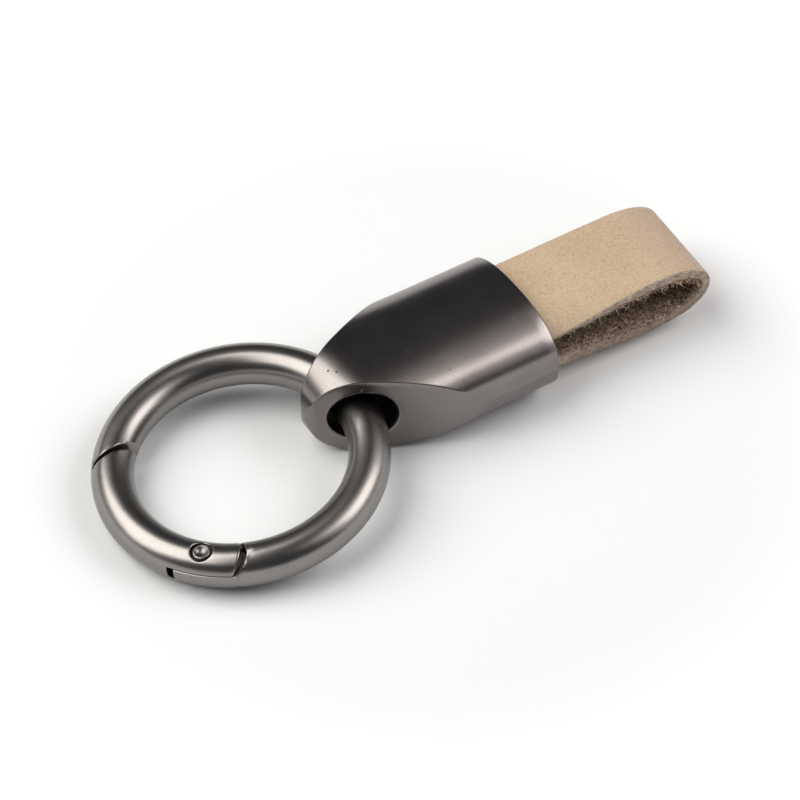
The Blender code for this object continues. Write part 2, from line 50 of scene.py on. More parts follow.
NOSE_OUTER_ANGLE = math.radians(151.0)
NOSE_INNER_ANGLE = math.radians(135.0)
NOSE_OUTER_GAP = 0.00034
NOSE_INNER_GAP = 0.00080
PIN_ANGLE = math.radians(224.5)
PIN_RADIUS = 0.00080
PIN_SINK = 0.00022
RUNNING_GAP = 0.00010
FORK_GAP = 0.00015
RECESS_DEPTH = 0.00060
FORK_REACH = 0.00445
SHOULDER_ROUND = 0.00235
TONGUE_THICKNESS = 0.0018
TONGUE_REACH = 0.00300
SLOT_RUNOUT = 0.00046
SPRING_ANGLE = math.radians(216.0)
SPRING_INSET = 0.00095
BORE_RADIUS = 0.00090
BORE_LENGTH = 0.0055

# Rivet's heads: a dish as (radius, depth below the top), a rolled rim and a skirt
RIVET_DISH = (
    (0.0, 0.00036), (0.00015, 0.00035), (0.00030, 0.00031),
    (0.00042, 0.00026), (0.00052, 0.00020), (0.00059, 0.00015),
)
RIVET_RIM_RADIUS = 0.000835
RIVET_RIM_HALF_WIDTH = 0.000185
RIVET_RIM_DEPTH = 0.00012
RIVET_RIM_RISE = 0.00014
RIVET_SKIRT = ((0.00102, 0.00054), (0.00080, 0.00062))

# End cap, as packed
CAP_LENGTH = 0.02957
CAP_WIDTH = 0.01940
CAP_HEIGHT = 0.01190
CAP_TURN = math.radians(1.05)
CAP_MOUTH_SQUARENESS = 2.35
CAP_NOSE_SQUARENESS = 2.65
SQUARE_UNTIL = 0.0055
ROUND_FROM = 0.0185
CAP_WALL = 0.0008
CAP_EDGE = 0.0002
CAVITY_DEPTH = 0.0118
NOSE_LENGTH = 0.0065
NOSE_FULLNESS = 2.15
NOSE_TIP_RADIUS = 0.0017
FACET_ANGLE = math.radians(26.4)
FACET_FILLET = 0.0090
HOLE_SETBACK = 0.0059
HOLE_RADIUS = 0.0037
HOLE_EDGE = 0.00045

# Strap, as packed
STRAP_WIDTH = 0.0128
STRAP_THICKNESS = 0.0016
STRAP_REACH = 0.0244
STRAP_SIDE_OFFSET = -0.00025
STRAP_LEAN = -0.00045
STRAP_SAG = 0.0002
STRAP_BELLY_HEIGHT = 0.0083
STRAP_BELLY_AT = 0.0168
STRAP_FOLD_FULLNESS = 2.2
STRAP_SKEW = 0.05
STRAP_TUCK = 0.0110
STRAP_GAP = 0.00080

# Places, as packed
CAP_MID_Z = CAP_HEIGHT / 2
PASS_ANGLE = math.asin(RING_OFFSET / RING_RADIUS)
TUBE_SAG = 0.00033
RING_REACH = RING_RADIUS * (1.0 + math.cos(PASS_ANGLE))
RING_TILT = math.asin((CAP_MID_Z - TUBE_SAG - TUBE_RADIUS) / RING_REACH)
HOLE_FROM_RING = RING_RADIUS * math.cos(PASS_ANGLE) * math.cos(RING_TILT)
HOLE_TO_MOUTH = CAP_LENGTH - HOLE_SETBACK
MOUTH_FROM_RING = HOLE_FROM_RING + HOLE_TO_MOUTH * math.cos(CAP_TURN)
END_FROM_RING = MOUTH_FROM_RING + STRAP_REACH + STRAP_SKEW * STRAP_WIDTH / 2
RING_X = (RING_RADIUS * math.cos(RING_TILT) + TUBE_RADIUS - END_FROM_RING) / 2
RING_PLACE = Vector((RING_X, 0.0, TUBE_RADIUS + RING_RADIUS * math.sin(RING_TILT)))
RING_FRAME = Matrix.Translation(RING_PLACE) @ Matrix.Rotation(-RING_TILT, 4, "Y")
CAP_PLACE = Vector((
    RING_X + HOLE_FROM_RING - HOLE_SETBACK * math.cos(CAP_TURN),
    RING_OFFSET - HOLE_SETBACK * math.sin(CAP_TURN), CAP_MID_Z,
))
CAP_FRAME = Matrix.Translation(CAP_PLACE) @ Matrix.Rotation(CAP_TURN, 4, "Z")
STRAP_PLACE = Vector((
    RING_X + MOUTH_FROM_RING,
    RING_OFFSET + HOLE_TO_MOUTH * math.sin(CAP_TURN) + STRAP_SIDE_OFFSET, CAP_MID_Z - STRAP_SAG,
))

# Finer ring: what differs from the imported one, its edges and steps
RECESS_RADIUS = 0.00130
SHOULDER_GAP = 0.00078
TONGUE_DROP = 0.00012
GATE_DROP = 0.00006
SEAT_RELIEF = 0.00012
SEAT_LEAN = math.radians(26.0)
RIGHT_THROUGH = 4 * TUBE_RADIUS
RING_SEGMENTS = 160
TUBE_SIDES = 40
METAL_EDGE = 0.00016
EDGE_SEGMENTS = 3
EDGE_FROM_ANGLE = math.radians(40.0)
SHARP_FROM_ANGLE = math.radians(35.0)
SLIVER = 0.00003
SHOULDER_HALF_TURN = math.radians(60.0)
SHOULDER_STEPS = 30
TONGUE_SIDE = 1.2 * TUBE_RADIUS
TONGUE_STEPS = 12
FORK_STEPS = 60
RECESS_SIDES = 48
BORE_SIDES = 32
RIVET_SIDES = 64
RIM_STEPS = 12

# Finer cap: its steps
ARCH_STEPS = 72
CORNER_STEPS = 5
SIDE_STEPS = 16
NOSE_STEPS = 60
FACET_STEPS = 24
FILLET_STEPS = 20
BODY_STEPS = 8
ROUND_STEPS = 4
HOLE_SIDES = 144
HOLE_STEPS = 9
MERGE_DISTANCE = 1e-7

# Material slot of the cap's hole and of the rivet's recesses, whose near-black metal is painted shade
PAINTED_SHADE_SLOT = 1

# Finer strap: its steps, worn corners, and its roughness as (waves per metre, height)
STRAP_ROWS = 420
GRAIN_STEPS = 72
CUT_STEPS = 12
PATH_STEPS = 600
PATH_STEPS_KEPT = 560
FOLD_STEPS = 400
NORMAL_REACH = 0.0004
GRAIN_ROUND = 0.00022
FLESH_ROUND = 0.00038
GRAIN_WAVES = ((260.0, 0.000012), (2200.0, 0.000004))
CUT_WAVES = ((1900.0, 0.00007), (5600.0, 0.00009))
CUT_SWELL = ((3100.0, 0.00003),)
FLESH_WAVES = ((900.0, 0.00010), (3300.0, 0.00007))

# Zones of the strap's section, which are also its material slots
GRAIN, CUT, FLESH = 0, 1, 2
COLUMN_DIGITS = 9

# Fibres: how each one grows
STRAND_STEPS = 5
STRAND_SIDES = 3
STRAND_ROOT = 0.00006
STRAND_TAPER = 0.72
STRAND_LIFT = (0.15, 0.60)
STRAND_DRIFT = 0.60
STRAND_CURL = 0.55
STRAND_LIE_DOWN = 0.12

# Fibres of the flesh side, of the worn corners and of the lower cut edge by the cap
MOUTH_MARGIN = 0.0004
SIDE_MARGIN = 0.0001
FLESH_FIBRES = 3900
FLESH_CROWDING = 1.9
FLESH_LENGTH = (0.0004, 0.0013)
FLESH_THICKNESS = (0.000045, 0.000090)
FLESH_DROOP = 0.04
CORNER_FIBRES = 1700
CORNER_SCATTER = 0.00012
CORNER_SINK = 0.35
CORNER_LEAN_OUT = 0.7
CORNER_LEAN_ASIDE = 0.5
CORNER_SIDES = (-1.0, -1.0, 1.0)
CORNER_LENGTH = (0.00018, 0.00055)
CORNER_THICKNESS = (0.000035, 0.000065)
CORNER_DROOP = 0.10
LOWER_FIBRES = 1500
LOWER_INSET = 0.00012
LOWER_REACH = 0.45
LOWER_SPREAD = 0.2
LOWER_LEAN = 0.5
LOWER_DEPTH = (-0.55, 0.9)
LOWER_LENGTH = (0.00030, 0.00070)
LOWER_THICKNESS = (0.000045, 0.000080)
LOWER_DROOP = 0.05

# Stage
STAGE_RADIUS = 3.0
STAGE_WALL = 0.42
STAGE_SIDES = 64
FLOOR_SHADES = ((0.775, 0.790, 0.805, 1.0), (0.785, 0.800, 0.815, 1.0))
WHITENING_NEAR = (0.040, 0.070)
WHITENING_NEAR_LEVEL = 0.20
WHITENING_FAR = (0.25, 0.80)
ROOM_SHADE = (0.86, 0.93, 1.0, 1.0)
ROOM_LIGHT = 0.080

# Lamps: azimuth and elevation in degrees, distance, width, height, level, colour, roll
KEY_SHADE = (1.0, 0.98, 0.93)
SIDE_SHADE = (1.0, 0.97, 0.95)
LAMPS = {
    "key_softbox": (147.5, 50.0, 0.60, 0.58, 0.55, 3.8, KEY_SHADE, -20.0),
    "key_glow": (147.5, 50.0, 0.61, 0.88, 0.84, 0.45, KEY_SHADE, -20.0),
    "side_softbox": (-25.5, 43.0, 0.60, 0.40, 0.34, 3.7, SIDE_SHADE, 0.0),
    "side_glow": (-25.5, 43.0, 0.61, 0.78, 0.70, 0.7, SIDE_SHADE, 0.0),
}

# Camera
LENS_MM = 135.0
SENSOR_MM = 36.0
CLIP_NEAR = 0.01
CLIP_FAR = 10.0
CAMERA_PLACE = (-0.12719, -0.20883, 0.26228)
CAMERA_RIGHT = (0.8566, -0.5159, 0.0)
CAMERA_UP = (0.3761, 0.6245, 0.6845)
CAMERA_BACK = (-0.3532, -0.5864, 0.7290)

random.seed(11)
scene = bpy.context.scene
home = scene.collection


# Mesh helpers

def object_from_bmesh(name, shape):
    mesh = bpy.data.meshes.new(name)
    shape.to_mesh(mesh)
    shape.free()
    made = bpy.data.objects.new(name, mesh)
    home.objects.link(made)
    return made


def prism(name, outline, height):
    """A flat outline in the XY plane, extruded evenly to both sides of it."""
    shape = bmesh.new()
    low = [shape.verts.new((p[0], p[1], -height / 2)) for p in outline]
    high = [shape.verts.new((p[0], p[1], height / 2)) for p in outline]
    shape.faces.new(low[::-1])
    shape.faces.new(high)
    for i in range(len(outline)):
        j = (i + 1) % len(outline)
        shape.faces.new((low[i], low[j], high[j], high[i]))
    bmesh.ops.recalc_face_normals(shape, faces=shape.faces)
    return object_from_bmesh(name, shape)


def cylinder(name, radius, length, sides):
    shape = bmesh.new()
    bmesh.ops.create_cone(shape, cap_ends=True, segments=sides, radius1=radius,
                          radius2=radius, depth=length)
    return object_from_bmesh(name, shape)


def boolean(target, tool, operation):
    step = target.modifiers.new(tool.name, "BOOLEAN")
    step.operation = operation
    step.solver = "EXACT"
    step.object = tool


def bevel(target, width):
    step = target.modifiers.new("edges", "BEVEL")
    step.width = width
    step.segments = EDGE_SEGMENTS
    step.limit_method = "ANGLE"
    step.angle_limit = EDGE_FROM_ANGLE
    step.use_clamp_overlap = False


def bake(item, tools, place):
    """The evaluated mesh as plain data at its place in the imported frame, its tools gone."""
    bpy.context.view_layer.update()
    graph = bpy.context.evaluated_depsgraph_get()
    mesh = bpy.data.meshes.new_from_object(item.evaluated_get(graph))
    mesh.name = item.name
    item.modifiers.clear()
    item.data = mesh
    mesh.transform(place)
    for tool in tools:
        bpy.data.objects.remove(tool, do_unlink=True)
    mesh.shade_smooth()
    mesh.set_sharp_from_angle(angle=SHARP_FROM_ANGLE)
    step = item.modifiers.new("normals", "WEIGHTED_NORMAL")
    step.keep_sharp = True
    return item


def arc(radius, start, end, steps, centre=Vector((0.0, 0.0))):
    turn = (end - start) / steps
    return [
        (centre[0] + radius * math.cos(start + turn * i),
         centre[1] + radius * math.sin(start + turn * i))
        for i in range(steps + 1)
    ]


def torus(name):
    shape = bmesh.new()
    rings = []
    for i in range(RING_SEGMENTS):
        along = 2 * math.pi * (i + 0.5) / RING_SEGMENTS
        ring = []
        for j in range(TUBE_SIDES):
            around = 2 * math.pi * j / TUBE_SIDES
            radius = RING_RADIUS + TUBE_RADIUS * math.cos(around)
            ring.append(shape.verts.new((
                radius * math.cos(along), radius * math.sin(along),
                TUBE_RADIUS * math.sin(around),
            )))
        rings.append(ring)
    for i in range(RING_SEGMENTS):
        fore, aft = rings[i], rings[(i + 1) % RING_SEGMENTS]
        for j in range(TUBE_SIDES):
            k = (j + 1) % TUBE_SIDES
            shape.faces.new((fore[j], aft[j], aft[k], fore[k]))
    bmesh.ops.recalc_face_normals(shape, faces=shape.faces)
    return object_from_bmesh(name, shape)


def ring_point(radius, angle):
    return Vector((radius * math.cos(angle), radius * math.sin(angle), 0.0))


# Gate ring

def hold_in_tube(item):
    """Draws in the slivers that a bevel pushes out of the wire's round surface."""
    for vertex in item.data.vertices:
        x, y, _ = vertex.co
        middle = Vector((x, y, 0.0)).normalized() * RING_RADIUS
        reach = vertex.co - middle
        if reach.length > TUBE_RADIUS + SLIVER:
            vertex.co = middle + reach.normalized() * TUBE_RADIUS


def nose_line(outer_gap, inner_gap):
    outer = ring_point(RING_RADIUS + TUBE_RADIUS, NOSE_OUTER_ANGLE)
    inner = ring_point(RING_RADIUS - TUBE_RADIUS, NOSE_INNER_ANGLE)
    along = (inner - outer).normalized()
    away = Vector((along.y, -along.x, 0.0))
    cut_outer = outer + away * outer_gap
    cut_inner = inner + away * inner_gap
    reach = cut_inner - cut_outer
    return cut_outer - reach, cut_inner + reach / 2


def spring_frame():
    outward = ring_point(1.0, SPRING_ANGLE)
    into_gate = Vector((outward.y, -outward.x, 0.0))
    return outward * (RING_RADIUS - SPRING_INSET), into_gate, outward


def past_pin(distance):
    """How far along the spring's line a point lies that is a distance past the rivet."""
    origin, into_gate, _ = spring_frame()
    return (ring_point(RING_RADIUS, PIN_ANGLE) - origin).dot(into_gate) + distance


def spring_prism(name, corners, height):
    """A prism whose corners are (along, out) from the spring's line."""
    origin, into_gate, outward = spring_frame()
    outline = [origin + into_gate * along + outward * out for along, out in corners]
    return prism(name, outline, height)


def shoulder_outline():
    reach = FORK_REACH + SHOULDER_GAP - SHOULDER_ROUND
    centre = ring_point(RING_RADIUS, PIN_ANGLE) + ring_point(reach, PIN_ANGLE + math.pi / 2)
    middle = PIN_ANGLE + math.pi / 2
    hollow = arc(SHOULDER_ROUND, middle - SHOULDER_HALF_TURN, middle + SHOULDER_HALF_TURN,
                 SHOULDER_STEPS, centre)
    side = ring_point(3 * TUBE_RADIUS, PIN_ANGLE)
    outside = Vector((*hollow[0], 0.0)) + side
    inside = Vector((*hollow[-1], 0.0)) - side
    return [outside, *hollow, inside]


def tongue_outline():
    root = PIN_ANGLE + 2 * FORK_REACH / RING_RADIUS
    ahead = ring_point(TONGUE_REACH, PIN_ANGLE - math.pi / 2)
    outer = RING_RADIUS + TONGUE_SIDE
    inner = RING_RADIUS - TONGUE_SIDE
    outline = arc(outer, root, PIN_ANGLE, TONGUE_STEPS)
    outline.append(ring_point(outer, PIN_ANGLE) + ahead)
    outline.append(ring_point(inner, PIN_ANGLE) + ahead)
    outline += arc(inner, PIN_ANGLE, root, TONGUE_STEPS)
    return outline


def gate_sector(outer_gap, inner_gap, end):
    """The part of the ring's plane from the nose round to the outline at the gate's other end."""
    nose_out, nose_in = nose_line(outer_gap, inner_gap)
    far = RING_RADIUS + 3 * TUBE_RADIUS
    return [nose_in, nose_out, (-far * 1.2, -far * 0.6), (-far, -far * 1.2), *end]


def make_ring_body():
    body = torus("ring_body_fine")
    gate_space = prism("gate_space", gate_sector(0.0, 0.0, shoulder_outline()), RIGHT_THROUGH)
    tongue = prism("tongue", tongue_outline(), TONGUE_THICKNESS)
    tongue.location.z = -TONGUE_DROP
    boolean(gate_space, tongue, "DIFFERENCE")
    boolean(body, gate_space, "DIFFERENCE")
    seat = past_pin(2 * PIN_RADIUS) - SEAT_RELIEF
    reach = 2 * TUBE_RADIUS
    set_back = (reach + BORE_RADIUS) * math.tan(SEAT_LEAN)
    corners = [
        (seat, BORE_RADIUS), (seat + reach, BORE_RADIUS), (seat + reach, -reach),
        (seat - set_back, -reach),
    ]
    notch = spring_prism("spring_seat", corners, RIGHT_THROUGH)
    boolean(body, notch, "DIFFERENCE")
    bevel(body, METAL_EDGE)
    bake(body, [gate_space, tongue, notch], Matrix())
    hold_in_tube(body)
    body.data.transform(RING_FRAME)
    return body


def make_gate():
    gate = torus("gate_fine")
    pin = ring_point(RING_RADIUS, PIN_ANGLE)
    fork_end = arc(FORK_REACH, PIN_ANGLE, PIN_ANGLE + math.pi, FORK_STEPS, pin)
    sector = gate_sector(NOSE_OUTER_GAP, NOSE_INNER_GAP, fork_end)
    keep = prism("gate_sector", sector, RIGHT_THROUGH)
    boolean(gate, keep, "INTERSECT")
    slot_end = past_pin(TONGUE_REACH) + SLOT_RUNOUT
    reach = 3 * TUBE_RADIUS
    back = 6 * TUBE_RADIUS
    corners = [(slot_end, reach), (slot_end, -reach), (-back, -reach), (-back, reach)]
    slot = spring_prism("fork_slot", corners, TONGUE_THICKNESS + 2 * FORK_GAP)
    slot.location.z = -TONGUE_DROP - GATE_DROP
    boolean(gate, slot, "DIFFERENCE")
    tools = [keep, slot]
    for side in (1.0, -1.0):
        recess = cylinder("pin_recess", RECESS_RADIUS, 2 * RECESS_DEPTH, RECESS_SIDES)
        recess.location = pin + Vector((0.0, 0.0, side * TUBE_RADIUS))
        boolean(gate, recess, "DIFFERENCE")
        tools.append(recess)
    bore = cylinder("spring_bore", BORE_RADIUS, 2 * BORE_LENGTH, BORE_SIDES)
    origin, into_gate, _ = spring_frame()
    turn = into_gate.to_track_quat("Z", "Y").to_matrix().to_4x4()
    bore.matrix_world = Matrix.Translation(origin + into_gate * slot_end) @ turn
    boolean(gate, bore, "DIFFERENCE")
    tools.append(bore)
    bevel(gate, METAL_EDGE)
    bake(gate, tools, Matrix())
    hold_in_tube(gate)
    # The rivet's recesses take the near-black metal: painted shade in them.
    for face in gate.data.polygons:
        reach = (face.center - pin).to_2d().length
        if reach < RECESS_RADIUS + RUNNING_GAP / 4 and abs(face.center.z) > TONGUE_THICKNESS / 2:
            face.material_index = PAINTED_SHADE_SLOT
    gate.data.transform(RING_FRAME)
    return gate


def make_pin():
    """The rivet. Both its heads have a rolled rim round a shallow dish."""
    half = TUBE_RADIUS - PIN_SINK
    upper = [(radius, half - depth) for radius, depth in RIVET_DISH]
    for i in range(RIM_STEPS + 1):
        turn = math.pi * (1.0 - i / RIM_STEPS)
        upper.append((RIVET_RIM_RADIUS + RIVET_RIM_HALF_WIDTH * math.cos(turn),
                      half - RIVET_RIM_DEPTH + RIVET_RIM_RISE * math.sin(turn)))
    upper += [(radius, half - depth) for radius, depth in RIVET_SKIRT]
    profile = upper + [(radius, -height) for radius, height in reversed(upper)]
    turns = [2 * math.pi * i / RIVET_SIDES for i in range(RIVET_SIDES)]
    shape = bmesh.new()
    rows = []
    for radius, height in profile[1:-1]:
        rows.append([
            shape.verts.new((radius * math.cos(turn), radius * math.sin(turn), height))
            for turn in turns
        ])
    ends = [shape.verts.new((0.0, 0.0, profile[0][1])), shape.verts.new((0.0, 0.0, profile[-1][1]))]
    for i in range(RIVET_SIDES):
        j = (i + 1) % RIVET_SIDES
        shape.faces.new((ends[0], rows[0][i], rows[0][j]))
        shape.faces.new((ends[1], rows[-1][j], rows[-1][i]))
        for fore, aft in zip(rows, rows[1:]):
            shape.faces.new((fore[i], aft[i], aft[j], fore[j]))
    bmesh.ops.recalc_face_normals(shape, faces=shape.faces)
    pin = object_from_bmesh("gate_pin_fine", shape)
    place = RING_FRAME @ Matrix.Translation(ring_point(RING_RADIUS, PIN_ANGLE))
    return bake(pin, [], place)


# End cap

def oval_height(y, half_width, half_height, squareness):
    share = min(1.0, abs(y) / half_width)
    return half_height * (1.0 - share**squareness) ** (1.0 / squareness)


def facet_half_width(x):
    tangent_x = NOSE_TIP_RADIUS * (1.0 - math.sin(FACET_ANGLE))
    tangent_y = NOSE_TIP_RADIUS * math.cos(FACET_ANGLE)
    return tangent_y + (x - tangent_x) * math.tan(FACET_ANGLE)


def facet_run():
    start = NOSE_TIP_RADIUS * (1.0 - math.sin(FACET_ANGLE))
    corner = start + (CAP_WIDTH / 2 - facet_half_width(start)) / math.tan(FACET_ANGLE)
    set_back = FACET_FILLET * math.tan(FACET_ANGLE / 2)
    return start, corner - set_back * math.cos(FACET_ANGLE), corner + set_back


def cap_half_width(x):
    start, run_out, side = facet_run()
    if x < start:
        return math.sqrt(max(0.0, NOSE_TIP_RADIUS**2 - (NOSE_TIP_RADIUS - x) ** 2))
    if x < run_out:
        return facet_half_width(x)
    if x < side:
        return CAP_WIDTH / 2 - FACET_FILLET + math.sqrt(FACET_FILLET**2 - (side - x) ** 2)
    return CAP_WIDTH / 2


def cap_half_height(x):
    back = max(0.0, 1.0 - x / NOSE_LENGTH)
    return CAP_HEIGHT / 2 * max(0.0, 1.0 - back**NOSE_FULLNESS) ** (1.0 / NOSE_FULLNESS)


def cap_squareness(x):
    share = min(1.0, max(0.0, (ROUND_FROM - x) / (ROUND_FROM - SQUARE_UNTIL)))
    blend = share * share * (3.0 - 2.0 * share)
    return CAP_MOUTH_SQUARENESS + (CAP_NOSE_SQUARENESS - CAP_MOUTH_SQUARENESS) * blend


def cap_section(x, half_width, half_height, squareness, width_limit):
    """One closed section, its corners with the flat sides rounded off."""
    edge = min(CAP_EDGE, width_limit / 4)
    reach = width_limit - edge
    arch = []
    for i in range(ARCH_STEPS + 1):
        y = reach * math.sin(math.pi * (i / ARCH_STEPS - 0.5))
        arch.append((y, oval_height(y, half_width, half_height, squareness)))
    corner = oval_height(width_limit, half_width, half_height, squareness)
    shoulder = max(0.0, corner - edge)
    start = Vector(arch[-1])
    end = Vector((width_limit, shoulder))
    knee = Vector((width_limit, corner))
    rounded = []
    for i in range(1, CORNER_STEPS):
        t = i / CORNER_STEPS
        point = start * (1 - t) ** 2 + knee * 2 * t * (1 - t) + end * t * t
        rounded.append((point.x, point.y))
    opposite = [(-y, z) for y, z in reversed(rounded)]
    side = [(width_limit, shoulder * (1 - 2 * i / SIDE_STEPS)) for i in range(SIDE_STEPS)]
    upper = opposite + arch + rounded + side
    return [(x, y, z) for y, z in upper] + [(x, -y, -z) for y, z in upper]


def cap_outer_section(x):
    return cap_section(x, CAP_WIDTH / 2, cap_half_height(x), cap_squareness(x), cap_half_width(x))


def cap_inset_section(x, inset):
    half_width = CAP_WIDTH / 2 - inset
    half_height = CAP_HEIGHT / 2 - inset
    return cap_section(x, half_width, half_height, CAP_MOUTH_SQUARENESS, half_width)


def stretch(start, end, steps):
    return [start + (end - start) * i / steps for i in range(1, steps + 1)]


def cap_stations():
    _, run_out, side = facet_run()
    nose = [
        NOSE_LENGTH * (1 - math.cos(math.pi / 2 * i / NOSE_STEPS)) for i in range(1, NOSE_STEPS + 1)
    ]
    facet = stretch(NOSE_LENGTH, run_out, FACET_STEPS)
    fillet = stretch(run_out, side, FILLET_STEPS)
    body = stretch(side, CAP_LENGTH - CAP_EDGE, BODY_STEPS)
    return nose + facet + fillet + body


def make_hole_cutter():
    rounding = []
    for i in range(HOLE_STEPS + 1):
        turn = math.pi / 2 * i / HOLE_STEPS
        rounding.append((HOLE_EDGE * (1 - math.sin(turn)), HOLE_EDGE * (1 - math.cos(turn))))
    rounding.append((-4 * HOLE_EDGE, HOLE_EDGE))
    shape = bmesh.new()
    rings = []
    for side in (-1.0, 1.0):
        flare = rounding if side > 0.0 else rounding[::-1]
        for depth, growth in flare:
            ring = []
            for i in range(HOLE_SIDES):
                turn = 2 * math.pi * (i + 0.5) / HOLE_SIDES
                x = HOLE_SETBACK + (HOLE_RADIUS + growth) * math.cos(turn)
                z = (HOLE_RADIUS + growth) * math.sin(turn)
                ring.append(shape.verts.new((x, side * (facet_half_width(x) - depth), z)))
            rings.append(ring)
    for fore, aft in zip(rings, rings[1:]):
        for i in range(HOLE_SIDES):
            j = (i + 1) % HOLE_SIDES
            shape.faces.new((fore[i], fore[j], aft[j], aft[i]))
    shape.faces.new(rings[0])
    shape.faces.new(rings[-1])
    bmesh.ops.recalc_face_normals(shape, faces=shape.faces)
    return object_from_bmesh("ring_hole", shape)


def make_end_cap():
    sections = [cap_outer_section(x) for x in cap_stations()]
    for i in range(1, ROUND_STEPS + 1):
        turn = math.pi / 2 * i / ROUND_STEPS
        sections.append(cap_inset_section(
            CAP_LENGTH - CAP_EDGE * (1 - math.sin(turn)), CAP_EDGE * (1 - math.cos(turn)),
        ))
    for i in range(ROUND_STEPS + 1):
        turn = math.pi / 2 * i / ROUND_STEPS
        sections.append(cap_inset_section(
            CAP_LENGTH - CAP_EDGE * (1 - math.cos(turn)), CAP_WALL - CAP_EDGE * (1 - math.sin(turn)),
        ))
    sections.append(cap_inset_section(CAP_LENGTH - CAVITY_DEPTH, CAP_WALL))
    shape = bmesh.new()
    rings = [[shape.verts.new(point) for point in section] for section in sections]
    tip = shape.verts.new((0.0, 0.0, 0.0))
    floor = shape.verts.new((CAP_LENGTH - CAVITY_DEPTH, 0.0, 0.0))
    count = len(rings[0])
    for i in range(count):
        j = (i + 1) % count
        shape.faces.new((tip, rings[0][j], rings[0][i]))
        shape.faces.new((floor, rings[-1][i], rings[-1][j]))
        for fore, aft in zip(rings, rings[1:]):
            shape.faces.new((fore[i], fore[j], aft[j], aft[i]))
    bmesh.ops.remove_doubles(shape, verts=shape.verts, dist=MERGE_DISTANCE)
    bmesh.ops.dissolve_degenerate(shape, edges=shape.edges, dist=MERGE_DISTANCE)
    bmesh.ops.recalc_face_normals(shape, faces=shape.faces)
    cap = object_from_bmesh("end_cap_fine", shape)
    hole = make_hole_cutter()
    boolean(cap, hole, "DIFFERENCE")
    bake(cap, [hole], Matrix())
    # The hole's inside takes the near-black metal: painted shade in it.
    for face in cap.data.polygons:
        x, y, z = face.center
        reach = math.hypot(x - HOLE_SETBACK, z)
        if reach < HOLE_RADIUS + HOLE_EDGE / 4 and abs(y) < facet_half_width(x) - HOLE_EDGE / 4:
            face.material_index = PAINTED_SHADE_SLOT
    cap.data.transform(CAP_FRAME)
    return cap


# Strap

def strap_mouth_half_height(y):
    cavity = oval_height(
        y + STRAP_SIDE_OFFSET + STRAP_LEAN, CAP_WIDTH / 2 - CAP_WALL,
        CAP_HEIGHT / 2 - CAP_WALL, CAP_MOUTH_SQUARENESS,
    )
    return min(STRAP_BELLY_HEIGHT / 2, cavity - STRAP_GAP)


def strap_layer_height(x, y):
    mouth = strap_mouth_half_height(y) - STRAP_THICKNESS / 2
    belly = (STRAP_BELLY_HEIGHT - STRAP_THICKNESS) / 2
    tip = STRAP_REACH - STRAP_THICKNESS / 2
    if x <= 0.0:
        return mouth
    if x <= STRAP_BELLY_AT:
        return mouth + (belly - mouth) * 0.5 * (1 - math.cos(math.pi * x / STRAP_BELLY_AT))
    share = (x - STRAP_BELLY_AT) / (tip - STRAP_BELLY_AT)
    return belly * math.sqrt(max(0.0, 1.0 - share**STRAP_FOLD_FULLNESS))


def strap_path():
    """Even steps along the strap's middle layer: distance out of the mouth and side."""
    tip = STRAP_REACH - STRAP_THICKNESS / 2
    dense = {
        (-STRAP_TUCK + (tip + STRAP_TUCK) * i / PATH_STEPS, 1.0) for i in range(PATH_STEPS_KEPT)
    }
    fold = tip - STRAP_BELLY_AT
    for i in range(FOLD_STEPS + 1):
        dense.add((STRAP_BELLY_AT + fold * math.sin(math.pi / 2 * i / FOLD_STEPS), 1.0))
    dense = sorted(dense)
    dense += [(x, -1.0) for x, _ in reversed(dense[:-1])]
    points = [(x, side * strap_layer_height(x, 0.0)) for x, side in dense]
    run = [0.0]
    for a, b in zip(points, points[1:]):
        run.append(run[-1] + math.dist(a, b))
    path = []
    at = 0
    for i in range(STRAP_ROWS + 1):
        want = run[-1] * i / STRAP_ROWS
        while at < len(run) - 2 and run[at + 1] < want:
            at += 1
        span = run[at + 1] - run[at]
        t = 0.0 if span == 0.0 else (want - run[at]) / span
        x = dense[at][0] * (1 - t) + dense[at + 1][0] * t
        side = dense[at][1] if t < 0.5 else dense[at + 1][1]
        path.append((min(x, tip), side))
    return path, run[-1]


